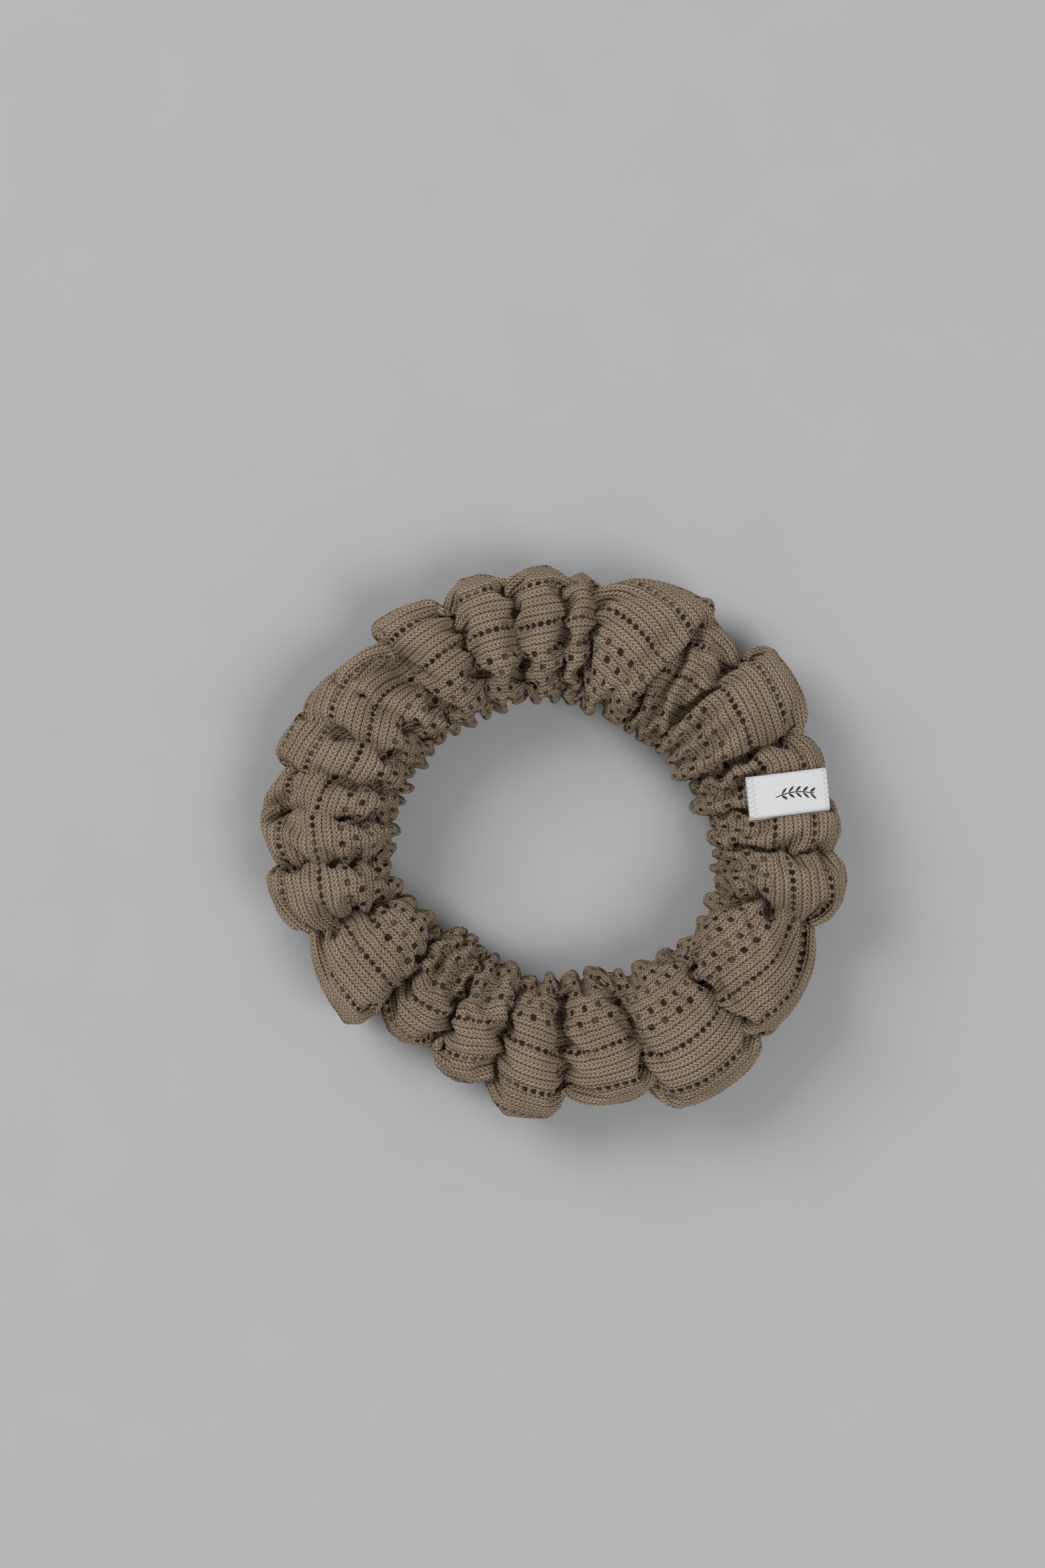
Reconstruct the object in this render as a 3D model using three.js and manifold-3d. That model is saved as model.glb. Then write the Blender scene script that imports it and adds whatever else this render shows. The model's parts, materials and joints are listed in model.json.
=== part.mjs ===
// A hair scrunchie at rest on a flat surface: a knit sleeve, gathered into pleats on a flat
// braided elastic, closed into a ring by a short seam that also holds a folded ribbon label.
// Millimetres, +Z up. The origin is on the resting surface, under the middle of the ring, and the
// label is on the +X side.
//
// The ring stretches between two fingers. One straight slide along X stands for that, so the
// pieces that run all the way round are each cut in two at the plane x = 0: the far half on -X
// and the label half on +X.
import * as THREE from "three";
import Module from "manifold-3d";
import { mergeVertices } from "three/addons/utils/BufferGeometryUtils.js";

const wasm = await Module();
wasm.setup();

// Ring
const holeCentre = new THREE.Vector2(-0.8, 1.2);
const pleatFoot = 46; // radius between two pleats
const sleeveHeight = 17; // between two pleats
const azimuthSteps = 132;
const sectionSteps = 20;
const sectionPower = 0.78; // below 1, a section is squarer than an ellipse
const restingDepth = 1.6; // how much of the round section the resting surface flattens
const halfGap = 0.3; // between the two halves at x = 0

// Radius of the hole in some directions, in degrees anticlockwise from +X
const holeOutline = [
  { at: 0, radius: 27.5 },
  { at: 20, radius: 24.7 },
  { at: 45, radius: 22.3 },
  { at: 70, radius: 22.8 },
  { at: 90, radius: 23.8 },
  { at: 115, radius: 23.5 },
  { at: 150, radius: 25.5 },
  { at: 180, radius: 27.6 },
  { at: 198, radius: 28.8 },
  { at: 215, radius: 25.2 },
  { at: 235, radius: 22.4 },
  { at: 258, radius: 24.5 },
  { at: 282, radius: 24.5 },
  { at: 308, radius: 27 },
  { at: 328, radius: 29.8 },
  { at: 346, radius: 29 },
];

// Pleats: direction in degrees, outer radius from the middle of the hole, height and half width in
// degrees
const pleats = [
  { at: 16, reach: 51.8, height: 19.5, spread: 7.5 },
  { at: 31.5, reach: 53.6, height: 21, spread: 9 },
  { at: 49, reach: 49.5, height: 19, spread: 6 },
  { at: 69, reach: 52.2, height: 21.5, spread: 11 },
  { at: 83, reach: 48.2, height: 19.5, spread: 5 },
  { at: 93.5, reach: 50.1, height: 20.5, spread: 6 },
  { at: 108, reach: 50.2, height: 20.5, spread: 7 },
  { at: 126, reach: 51.3, height: 22, spread: 9 },
  { at: 141, reach: 51, height: 20.5, spread: 6 },
  { at: 156, reach: 53.8, height: 21, spread: 9 },
  { at: 169, reach: 52.8, height: 21, spread: 6 },
  { at: 180, reach: 53.4, height: 21, spread: 6 },
  { at: 193, reach: 53.2, height: 20.5, spread: 7 },
  { at: 212, reach: 51.6, height: 21, spread: 9 },
  { at: 232, reach: 47, height: 20, spread: 8 },
  { at: 249, reach: 48.4, height: 19.5, spread: 6 },
  { at: 263.5, reach: 52.8, height: 20.5, spread: 7 },
  { at: 282, reach: 51, height: 20, spread: 8 },
  { at: 304, reach: 57.4, height: 21, spread: 10 },
  { at: 330, reach: 54.2, height: 22, spread: 12 },
  { at: 347, reach: 54.6, height: 20.5, spread: 8 },
  { at: 357, reach: 55.1, height: 19.5, spread: 5.4 },
];

// Elastic: a flat strip standing on edge, its two ends lapped under the label
const elasticInset = 4.6; // from the edge of the hole to its middle
const elasticWidth = 7;
const elasticThickness = 1.2;
const elasticBase = 5; // height of its lower edge
const elasticSteps = 90; // round the whole ring
const lapArc = 19; // degrees, about 10 mm
const lapGap = 0.3; // between the lapped ends
const lapDirection = 5.5; // degrees, of the middle of the lap
const lapEase = 14; // degrees over which the outer end comes back to the ring
const channelWall = 1.1; // clearance between the elastic and the sleeve
const seamSpace = 1.7; // room for the sleeve's own seam, inside, under the elastic

// Stitching
const threadRadius = 0.22;
const threadSides = 6;
const seamInset = 5.2; // from the edge of the hole to the sleeve's long seam, under the elastic
const seamHeight = 3.1;
const seamZigzag = 0.65; // half the width of its stitches
const seamStitches = 27; // in each half
const lapStitches = 6;
const lapStitchReach = 2.6; // half the height of the zigzag across the elastic
const lapThreadGap = 0.3;
const seamEnd = 4; // degrees left free at each end of a half
const creaseStitches = 9;

// Closing seam and label
const creaseDirection = 5.4545; // degrees from the middle of the hole
const creaseWidth = 2.2;
const creaseDepth = 1.5;
const labelCentreRadius = 43; // from the middle of the hole to the middle of the sewn edge
const labelTurn = 7; // degrees from +X to the sewn edge
const labelWidth = 15;
const labelLength = 7.4; // from the seam to the fold
const labelPly = 0.3;
const labelHeight = 17.4; // of the sewn edge's middle
const labelSlope = 11; // degrees that it falls away outwards
const labelLift = 4; // degrees that it stands up from the sewn edge
const labelBend = 0.45; // inner radius of its fold
const labelPocket = 0.6; // clearance to the knit that it lies on

const lapFrom = lapDirection - lapArc / 2;
const lapTo = lapDirection + lapArc / 2;

const knit = { color: 0x9b8870, roughness: 0.95, metalness: 0 };
const rubber = { color: 0xd9d4ca, roughness: 0.8, metalness: 0 };
const thread = { color: 0xa8957c, roughness: 0.7, metalness: 0 };
const satin = { color: 0xf0efec, roughness: 0.4, metalness: 0 };

function radians(degrees) {
  return THREE.MathUtils.degToRad(degrees);
}

// A point at a radius from the middle of the hole.
function roundHole(degrees, radius, height) {
  const turn = radians(degrees);
  return new THREE.Vector3(
    holeCentre.x + radius * Math.cos(turn),
    holeCentre.y + radius * Math.sin(turn),
    height,
  );
}

// The radius of the hole in any direction, easing from each stated one to the next.
function holeRadius(degrees) {
  const wanted = ((degrees % 360) + 360) % 360;
  const next = holeOutline.findIndex((p) => p.at > wanted);
  const after = next < 0 ? { at: 360, radius: holeOutline[0].radius } : holeOutline[next];
  const before = next < 0 ? holeOutline[holeOutline.length - 1] : holeOutline[next - 1];
  const eased = THREE.MathUtils.smoothstep(wanted, before.at, after.at);
  return THREE.MathUtils.lerp(before.radius, after.radius, eased);
}

// ---- solids -----------------------------------------------------------------------------------

function toSolid(geometry) {
  const bare = geometry.clone();
  bare.deleteAttribute("normal");
  bare.deleteAttribute("uv");
  const merged = mergeVertices(bare, 1e-4);
  const mesh = new wasm.Mesh({
    numProp: 3,
    vertProperties: new Float32Array(merged.attributes.position.array),
    triVerts: new Uint32Array(merged.index.array),
  });
  return new wasm.Manifold(mesh);
}

function toGeometry(solid) {
  const mesh = solid.getMesh();
  const geometry = new THREE.BufferGeometry();
  geometry.setAttribute("position", new THREE.BufferAttribute(mesh.vertProperties, 3));
  geometry.setIndex(new THREE.BufferAttribute(mesh.triVerts, 1));
  geometry.computeVertexNormals();
  return geometry;
}

function namedMesh(name, geometry, finish) {
  const mesh = new THREE.Mesh(geometry, new THREE.MeshStandardMaterial(finish));
  mesh.name = name;
  return mesh;
}

// A closed tube of points round a closed loop: rings[i][j] is point j of section i.
function loopGeometry(rings) {
  const across = rings[0].length;
  const positions = rings.flat().flatMap((p) => [p.x, p.y, p.z]);
  const index = [];
  rings.forEach((ring, i) => {
    const here = i * across;
    const next = ((i + 1) % rings.length) * across;
    ring.forEach((point, j) => {
      const k = (j + 1) % across;
      index.push(here + j, next + j, next + k);
      index.push(here + j, next + k, here + k);
    });
  });
  const geometry = new THREE.BufferGeometry();
  geometry.setAttribute("position", new THREE.Float32BufferAttribute(positions, 3));
  geometry.setIndex(index);
  return geometry;
}

function boxSolid(low, high) {
  const size = new THREE.Vector3().subVectors(high, low);
  const box = new THREE.BoxGeometry(size.x, size.y, size.z);
  box.translate(low.x + size.x / 2, low.y + size.y / 2, low.z + size.z / 2);
  return toSolid(box);
}

// Everything on one side of the plane x = 0, clear of it by half the gap.
function sideSolid(side) {
  const far = 80;
  const near = halfGap / 2;
  const low = new THREE.Vector3(side > 0 ? near : -far, -far, -far);
  const high = new THREE.Vector3(side > 0 ? far : -near, far, far);
  return boxSolid(low, high);
}

// ---- sleeve -----------------------------------------------------------------------------------

// How strongly each pleat is felt in a direction, as the share of the way to its full size.
function pleatShare(pleat, degrees) {
  const apart = Math.abs(((degrees - pleat.at + 540) % 360) - 180);
  const share = Math.cos(Math.min(apart / pleat.spread, 1) * (Math.PI / 2));
  return Math.sqrt(Math.max(share, 0));
}

function outerRadius(degrees) {
  return Math.max(
    ...pleats.map((p) => pleatFoot + (p.reach - pleatFoot) * pleatShare(p, degrees)),
  );
}

function topHeight(degrees) {
  return Math.max(
    ...pleats.map((p) => sleeveHeight + (p.height - sleeveHeight) * pleatShare(p, degrees)),
  );
}

function signedPower(value, power) {
  return Math.sign(value) * Math.abs(value) ** power;
}

// The sleeve's section in one direction, as points from the outer side over the top and back under.
function sleeveSection(degrees, inset) {
  const inner = holeRadius(degrees) + inset;
  const outer = outerRadius(degrees) - inset;
  const top = topHeight(degrees) - inset;
  const halfWidth = (outer - inner) / 2;
  const halfHeight = (top + restingDepth) / 2;
  const points = [];
  for (let j = 0; j < sectionSteps; j += 1) {
    const turn = (j / sectionSteps) * Math.PI * 2;
    const radius = (inner + outer) / 2 + halfWidth * signedPower(Math.cos(turn), sectionPower);
    const height = top - halfHeight + halfHeight * signedPower(Math.sin(turn), sectionPower);
    points.push(roundHole(degrees, radius, Math.max(height, 0)));
  }
  return points;
}

function sleeveSolid(inset) {
  const rings = [];
  for (let i = 0; i < azimuthSteps; i += 1) {
    rings.push(sleeveSection((i / azimuthSteps) * 360, inset));
  }
  return toSolid(loopGeometry(rings));
}

// The four corners of an upright strip's section, in one direction.
function stripSection(degrees, inner, thickness, base, height) {
  return [
    roundHole(degrees, inner, base),
    roundHole(degrees, inner + thickness, base),
    roundHole(degrees, inner + thickness, base + height),
    roundHole(degrees, inner, base + height),
  ];
}

// The hollow that the elastic and the sleeve's own seam run in.
function channelSolid() {
  const thickness = 2 * elasticThickness + lapGap + 2 * channelWall;
  const base = elasticBase - channelWall - seamSpace;
  const height = elasticWidth + 2 * channelWall + seamSpace;
  const rings = [];
  for (let i = 0; i < elasticSteps; i += 1) {
    const degrees = (i / elasticSteps) * 360;
    const inner = elasticRadius(degrees) - elasticThickness / 2 - channelWall;
    rings.push(stripSection(degrees, inner, thickness, base, height));
  }
  return toSolid(loopGeometry(rings));
}

// The crease that the closing seam pulls into the sleeve, round its section.
function creaseSolid() {
  const reach = 60;
  const slab = new THREE.BoxGeometry(reach, creaseWidth, reach);
  slab.translate(reach / 2, 0, 0);
  slab.rotateZ(radians(creaseDirection));
  slab.translate(holeCentre.x, holeCentre.y, 0);
  return toSolid(slab).subtract(sleeveSolid(creaseDepth));
}

// The place for the label: its own outline and a margin, open upwards.
function labelPocketSolid() {
  const open = 12;
  const box = new THREE.BoxGeometry(
    labelWidth + 2 * labelPocket,
    labelLength + 2 * labelBend + 2 * labelPly + 2 * labelPocket,
    open,
  );
  const underside = labelBend + labelPly + labelPocket;
  box.translate(0, labelLength / 2, open / 2 - underside);
  box.applyMatrix4(labelFrame().matrixWorld);
  return toSolid(box);
}

function sleeveHalves() {
  const whole = sleeveSolid(0)
    .subtract(channelSolid())
    .subtract(creaseSolid())
    .subtract(labelPocketSolid());
  return {
    far: toGeometry(whole.intersect(sideSolid(-1))),
    label: toGeometry(whole.intersect(sideSolid(1))),
  };
}

// ---- elastic ----------------------------------------------------------------------------------

// A closed tube of points along an open run, with flat ends.
function cappedGeometry(rings) {
  const across = rings[0].length;
  const positions = rings.flat().flatMap((p) => [p.x, p.y, p.z]);
  const last = (rings.length - 1) * across;
  const index = [];
  for (let i = 0; i < rings.length - 1; i += 1) {
    for (let j = 0; j < across; j += 1) {
      const k = (j + 1) % across;
      const here = i * across;
      const next = here + across;
      index.push(here + j, next + k, here + k);
      index.push(here + j, next + j, next + k);
    }
  }
  for (let j = 1; j < across - 1; j += 1) {
    index.push(0, j, j + 1);
    index.push(last, last + j + 1, last + j);
  }
  const geometry = new THREE.BufferGeometry();
  geometry.setAttribute("position", new THREE.Float32BufferAttribute(positions, 3));
  geometry.setIndex(index);
  return geometry;
}

function elasticRadius(degrees) {
  return holeRadius(degrees) + elasticInset;
}

// The outer end lies on the inner one for the length of the lap, then eases back to the ring.
function outerEndRadius(degrees) {
  const eased = THREE.MathUtils.smoothstep(degrees, lapTo + 2, lapTo + 2 + lapEase);
  return elasticRadius(degrees) + (elasticThickness + lapGap) * (1 - eased);
}

// A strip standing on edge round the hole, between two directions in degrees, kept on one side of
// x = 0. radiusAt gives the radius of its middle in each direction.
function elasticStrip(from, to, side, radiusAt) {
  const steps = Math.round(((to - from) / 360) * elasticSteps);
  const rings = [];
  for (let i = 0; i <= steps; i += 1) {
    const degrees = from + ((to - from) * i) / steps;
    const inner = radiusAt(degrees) - elasticThickness / 2;
    rings.push(stripSection(degrees, inner, elasticThickness, elasticBase, elasticWidth));
  }
  return toGeometry(toSolid(cappedGeometry(rings)).intersect(sideSolid(side)));
}

// ---- threads ----------------------------------------------------------------------------------

function threadAlong(points) {
  const section = new THREE.Shape(
    Array.from({ length: threadSides }, (unused, i) => {
      const turn = (i / threadSides) * Math.PI * 2;
      return new THREE.Vector2(threadRadius * Math.cos(turn), threadRadius * Math.sin(turn));
    }),
  );
  const path = new THREE.CatmullRomCurve3(points, false, "catmullrom", 0.2);
  return new THREE.ExtrudeGeometry(section, {
    steps: points.length * 2,
    extrudePath: path,
    bevelEnabled: false,
  });
}

// The seam that closes the sleeve into a tube: a zigzag inside it, under the elastic.
function longSeam(from, to) {
  const points = [];
  for (let i = 0; i <= seamStitches; i += 1) {
    const degrees = from + ((to - from) * i) / seamStitches;
    const radius = holeRadius(degrees) + seamInset + (i % 2 ? seamZigzag : -seamZigzag);
    points.push(roundHole(degrees, radius, seamHeight));
  }
  return threadAlong(points);
}

// The zigzag that joins the elastic's lapped ends: it lies on the outer one.
function lapThread() {
  const clear = 1.5 * elasticThickness + lapGap + threadRadius + lapThreadGap;
  const used = (lapTo - lapFrom) * 0.7;
  const middle = elasticBase + elasticWidth / 2;
  const points = [];
  for (let i = 0; i <= lapStitches; i += 1) {
    const degrees = (lapFrom + lapTo - used) / 2 + (used * i) / lapStitches;
    const height = middle + (i % 2 ? lapStitchReach : -lapStitchReach);
    points.push(roundHole(degrees, elasticRadius(degrees) + clear, height));
  }
  return threadAlong(points);
}

// The stitches of the closing seam: a zigzag in its crease, over the top of the sleeve.
function creaseThread() {
  const outline = sleeveSection(creaseDirection, creaseDepth * 0.55);
  const used = outline.slice(1, sectionSteps / 2);
  const over = new THREE.CatmullRomCurve3(used);
  const turn = radians(creaseDirection);
  const side = new THREE.Vector3(-Math.sin(turn), Math.cos(turn), 0);
  const swing = creaseWidth / 2 - threadRadius - 0.35;
  const points = over.getSpacedPoints(creaseStitches * 2);
  points.forEach((point, i) => point.addScaledVector(side, i % 2 ? swing : -swing));
  return threadAlong(points);
}

// ---- label ------------------------------------------------------------------------------------

// The label's own frame: X along its sewn edge, outwards, and Y from that edge to its fold.
function labelFrame() {
  const frame = new THREE.Object3D();
  frame.position.copy(roundHole(creaseDirection, labelCentreRadius, labelHeight));
  frame.rotation.set(radians(labelLift), radians(labelSlope), radians(labelTurn), "ZYX");
  frame.updateMatrixWorld(true);
  return frame;
}

// A ribbon folded in two: the fold is at the far end, both ends are at the sewn edge.
function labelGeometry() {
  const outer = labelBend + labelPly;
  const foldAt = labelLength - outer;
  const outline = new THREE.Shape();
  outline.moveTo(0, -outer);
  outline.lineTo(foldAt, -outer);
  outline.absarc(foldAt, 0, outer, -Math.PI / 2, Math.PI / 2, false);
  outline.lineTo(0, outer);
  outline.lineTo(0, labelBend);
  outline.lineTo(foldAt, labelBend);
  outline.absarc(foldAt, 0, labelBend, Math.PI / 2, -Math.PI / 2, true);
  outline.lineTo(0, -labelBend);
  outline.closePath();
  const ribbon = new THREE.ExtrudeGeometry(outline, {
    depth: labelWidth,
    bevelEnabled: false,
    curveSegments: 6,
  });
  ribbon.translate(0, 0, -labelWidth / 2);
  // the outline's own x runs to the fold and its y is the thickness
  const fit = new THREE.Matrix4().makeBasis(
    new THREE.Vector3(0, 1, 0),
    new THREE.Vector3(0, 0, 1),
    new THREE.Vector3(1, 0, 0),
  );
  ribbon.applyMatrix4(fit);
  return ribbon;
}

// ---- assembly ---------------------------------------------------------------------------------

function sleevePieces() {
  const sleeve = sleeveHalves();
  return [
    namedMesh("sleeve_far_half", sleeve.far, knit),
    namedMesh("sleeve_label_half", sleeve.label, knit),
  ];
}

function elasticPieces() {
  const past = 8; // degrees past the plane x = 0, where each strip is cut off
  return [
    namedMesh("elastic_middle", elasticStrip(90 - past, 270 + past, -1, elasticRadius), rubber),
    namedMesh("elastic_inner_end", elasticStrip(-90 - past, lapTo, 1, elasticRadius), rubber),
    namedMesh("elastic_outer_end", elasticStrip(lapFrom, 90 + past, 1, outerEndRadius), rubber),
  ];
}

function threadPieces() {
  return [
    namedMesh("long_seam_thread_far", longSeam(90 + seamEnd, 270 - seamEnd), thread),
    namedMesh("long_seam_thread_label", longSeam(-90 + seamEnd, 90 - seamEnd), thread),
    namedMesh("elastic_lap_thread", lapThread(), thread),
    namedMesh("closing_seam_thread", creaseThread(), thread),
  ];
}

function labelPiece() {
  const label = namedMesh("label", labelGeometry(), satin);
  label.applyMatrix4(labelFrame().matrixWorld);
  return label;
}

const scrunchie = new THREE.Group();
scrunchie.add(...sleevePieces(), ...elasticPieces(), ...threadPieces(), labelPiece());

export default scrunchie;
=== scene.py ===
"""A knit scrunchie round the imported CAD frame: its gathered sleeve, its elastic, seams and label.

Lengths are millimetres until a mesh is made. The sleeve is one rectangle of knit: s runs along its
length, round the ring, and v across its width, round the tube, starting at the inner wall.
"""

import json
import math

import bpy
import numpy as np
from mathutils import Euler, Matrix, Vector


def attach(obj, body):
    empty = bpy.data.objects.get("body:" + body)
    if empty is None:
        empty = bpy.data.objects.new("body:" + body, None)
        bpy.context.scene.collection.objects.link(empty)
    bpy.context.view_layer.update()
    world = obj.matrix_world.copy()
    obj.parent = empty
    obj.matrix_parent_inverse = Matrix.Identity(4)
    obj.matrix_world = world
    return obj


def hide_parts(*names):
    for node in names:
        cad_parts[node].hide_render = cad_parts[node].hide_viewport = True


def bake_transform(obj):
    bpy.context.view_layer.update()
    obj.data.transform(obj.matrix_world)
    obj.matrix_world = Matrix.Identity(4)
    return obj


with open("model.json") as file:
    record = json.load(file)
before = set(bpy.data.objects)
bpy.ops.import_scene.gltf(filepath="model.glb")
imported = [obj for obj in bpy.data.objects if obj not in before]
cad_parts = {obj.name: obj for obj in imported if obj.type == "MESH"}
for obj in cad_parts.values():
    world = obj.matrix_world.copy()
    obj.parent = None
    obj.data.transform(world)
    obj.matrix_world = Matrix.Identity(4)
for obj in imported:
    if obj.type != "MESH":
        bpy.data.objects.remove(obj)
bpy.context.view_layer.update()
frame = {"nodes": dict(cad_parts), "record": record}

MM = 0.001

# ---- sizes ---------------------------------------------------------------------------------------

HOLE_CENTRE = (-0.8, 1.2)
CLOTH_LENGTH = 490.0
CLOTH_WIDTH = 76.0
CELLS_ROUND = 420  # of the relaxed cloth, along its length
CELLS_ACROSS = 66

# Radius of the hole in some directions, in degrees anticlockwise from +X
HOLE_OUTLINE = [
    (0, 27.5), (20, 24.7), (45, 22.3), (70, 22.8), (90, 23.8), (115, 23.5), (150, 25.5),
    (180, 27.6), (198, 28.8), (215, 25.2), (235, 22.4), (258, 24.5), (282, 24.5), (308, 27),
    (328, 29.8), (346, 29),
]

# Pleats, from the closing seam round: direction and outer radius of the crest, its height, its
# share of the cloth, how many small pleats it breaks into at the elastic, how far those run as a
# share of the cloth's width, and the crest's lean in degrees
PLEATS = [
    (16, 51.8, 19, 1.1, 2, 0.32, 0),
    (31.5, 53.8, 21, 1.5, 3, 0.24, 3),
    (49, 49.5, 18, 1.0, 3, 0.36, 5),
    (69, 52.2, 21.5, 1.7, 2, 0.14, -9),
    (83, 48.0, 19, 0.6, 1, 0.16, 0),
    (93.5, 49.6, 20.5, 1.0, 2, 0.12, 0),
    (108, 50.0, 20.5, 1.2, 2, 0.12, 0),
    (122, 51.4, 22, 1.3, 2, 0.12, 6),
    (136, 50.2, 19, 0.9, 2, 0.16, 8),
    (149, 52.2, 20.5, 0.9, 2, 0.16, 3),
    (159, 53.4, 21, 1.0, 2, 0.14, 2),
    (170, 52.6, 20, 0.9, 2, 0.20, 3),
    (181, 53.4, 21, 1.0, 2, 0.16, -4),
    (194, 53.2, 20.5, 1.1, 2, 0.16, -4),
    (212, 51.6, 21.5, 1.5, 3, 0.12, 6),
    (232, 46.6, 18.5, 1.2, 3, 0.30, 0),
    (249, 48.4, 19.5, 1.0, 2, 0.26, 0),
    (263.5, 52.4, 20.5, 1.0, 2, 0.16, 0),
    (282, 51.0, 20, 1.2, 2, 0.16, 4),
    (304, 57.2, 21, 1.5, 3, 0.14, 0),
    (330, 54.4, 22, 1.8, 3, 0.12, -6),
    (350, 54.5, 20.5, 1.2, 3, 0.24, 0),
    (361, 52.8, 19, 0.9, 2, 0.28, 0),
]

PLEAT_BULGE = 0.07  # how far a pleat's sides stand out over its foot, as a share of its width

# Hollows in the top: direction, distance from the hole's centre, depth, size
HOLLOWS = [
    (131, 41, 7, 2.4),
    (175, 49, 6, 2.2),
    (338, 49, 7, 2.2),
    (58, 43, 6, 2.4),
]

# Laying the cloth
LAID_HEIGHT = 0.3  # lowest place of the laid cloth over the floor
SMALL_PLEAT_FADE = 0.10  # over this share of the cloth's width small pleats grow
TALLEST_FOLD = 9.0  # over its chord
SMALL_FOLD_LESS = 6.2  # how much lower the tallest small fold is
UNDERSIDE_FOLD = 0.35  # share of a fold's height that is left where the ring lies on the floor

# Relaxing it: how much of a stretched and of a pressed distance is put right in one step
LONG_WAY = (1, 0.3)
SHORT_WAY = (0.7, 0.1)
SHEAR = (0.35, 0.08)
BENDING = 0.08
INNER_SLACK = 0.6  # length along the elastic, as a share of the flat cloth's
RELAX_STEPS = 80
PULLS_PER_STEP = 6
MOMENTUM = 0.85
LAID_HOLD = 0.05  # pull back to where the cloth was laid
FASTEST = 0.6  # in one step
LAYER_GAP = 0.95
SAME_LAYER = 3  # cells this near along the cloth don't push each other
RELAXED_HEIGHT = 0.35  # lowest place of the relaxed cloth over the floor
ELASTIC_CLEARANCE = 0.7
LABEL_CLEARANCE = 0.45

# Knit
WALES = 43  # columns of stitches across the cloth
COURSES = 596  # stitches along it, a multiple of 4 so that the eyelets meet at the seam
WALE = CLOTH_WIDTH / WALES
STITCH_SLANT = 2.6  # courses that a leg would run on across a whole wale
SAMPLES_PER_WALE = 8
CLOTH_BANDS = 3  # the long cloth is cut into this many bands on its baked picture

# Eyelet rows, from the inner wall both ways. In the lace they are close together and staggered,
# with half as many eyelets.
EYELET_ROWS = [0, 2.65, 6.2, 8.85, 11.5, 15.0, 17.7, 23.0, 30.9, 38.0]
LACE_WIDTH = 19.0
EYELET_REACH = 0.50
LACE_REACH = 0.58
ROPE_HEIGHT = 0.28
EYELET_DEPTH = 0.55
CLOTH_TURN = 2.3  # how far the pattern has turned round the tube
CLOTH_SLIP = [(3, 1.1, 0.4), (7, 1.45, 2.0), (11, 1.2, 4.1)]  # waves round the ring, size, start
SPREAD = 0.14  # how far an eyelet pushes the wales beside it aside
SPREAD_IN_LACE = 0.75
SPREAD_FADE = 1.2

# Elastic, threads and label
ELASTIC_INSET = 4.6  # outwards from the edge of the hole
ELASTIC_WIDTH = 7.0
ELASTIC_THICKNESS = 1.2
ELASTIC_BASE = 5.0
LAP_MIDDLE = 5.5  # degrees
LAP_ARC = 19.0  # degrees
SEAM_INSET = 5.2
SEAM_HEIGHT = 3.1
SEAM_ZIGZAG = 0.65
CLOSING_STITCHES = 40
CLOSING_ZIGZAG = 0.8
SEAM_THREAD = 0.16  # radius
CLOSING_THREAD = 0.13
THREAD_SIDES = 8
LABEL_WIDTH = 15.0
LABEL_LENGTH = 7.4
LABEL_TAIL = 1.3  # caught in the seam
RIBBON_LENGTH = 2 * (LABEL_LENGTH + LABEL_TAIL)
LABEL_BEND = 0.45  # radius of the fold
LABEL_PLY = 0.16
LABEL_CROWN = 0.25  # how far its middle stands over its edges
LABEL_TILT = (4.0, 11.0, 7.0)  # degrees about X, Y and Z
NEAR_SELVAGE = 1.4
FAR_SELVAGE = 0.8


# ---- the sleeve's shape --------------------------------------------------------------------------

def round_table(table, degrees):
    """A table's value in a direction, easing from each (direction, value) to the next."""
    turns = np.array([row[0] for row in table], float)
    values = np.array([row[1] for row in table], float)
    turns = np.concatenate([turns - 360, turns, turns + 360])
    values = np.tile(values, 3)
    wanted = np.mod(np.asarray(degrees, float), 360)
    i = np.searchsorted(turns, wanted, side="right") - 1
    share = (wanted - turns[i]) / (turns[i + 1] - turns[i])
    share = share * share * (3 - 2 * share)
    return values[i] * (1 - share) + values[i + 1] * share


def rounded(wave, power):
    """A wave with steeper sides and fuller ends, for a power below 1."""
    return np.sign(wave) * np.abs(wave) ** power


def section(inner, outer, height):
    """Radius and height of the sleeve's section at even steps round it, and its outward normal.
    It is a rounded box that sinks a little below the floor and is cut flat there."""
    power, sink = 0.8, 1.2
    turn = np.pi - np.linspace(0, 2 * np.pi, 240, endpoint=False)
    half_width = (outer - inner) / 2
    half_height = (height + sink) / 2
    out, up = rounded(np.cos(turn), power), rounded(np.sin(turn), power)
    radius = (inner + outer) / 2 + half_width * out
    rise = np.maximum(height - half_height + half_height * up, LAID_HEIGHT)
    steps = np.hypot(np.roll(radius, -1) - radius, np.roll(rise, -1) - rise)
    along = np.concatenate([[0], np.cumsum(steps)])
    wanted = np.arange(CELLS_ACROSS) / CELLS_ACROSS * along[-1]
    radius = np.interp(wanted, along, np.append(radius, radius[0]))
    rise = np.interp(wanted, along, np.append(rise, rise[0]))
    run_r = np.roll(radius, -1) - np.roll(radius, 1)
    run_z = np.roll(rise, -1) - np.roll(rise, 1)
    size = np.hypot(run_r, run_z)
    return radius, rise, -run_z / size, run_r / size


def pleat_bounds():
    """Each pleat's first and last direction, and the cloth's length used by it."""
    crest = np.array([p[0] for p in PLEATS], float)
    share = np.array([p[3] for p in PLEATS])
    after = np.append(crest[1:], crest[0] + 360)
    last = crest + (after - crest) * share / (share + np.roll(share, -1))
    first = np.append(last[-1] - 360, last[:-1])
    span = last - first
    length = CLOTH_LENGTH * (0.6 * span / span.sum() + 0.4 * share / share.sum())
    return first, last, length


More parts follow.
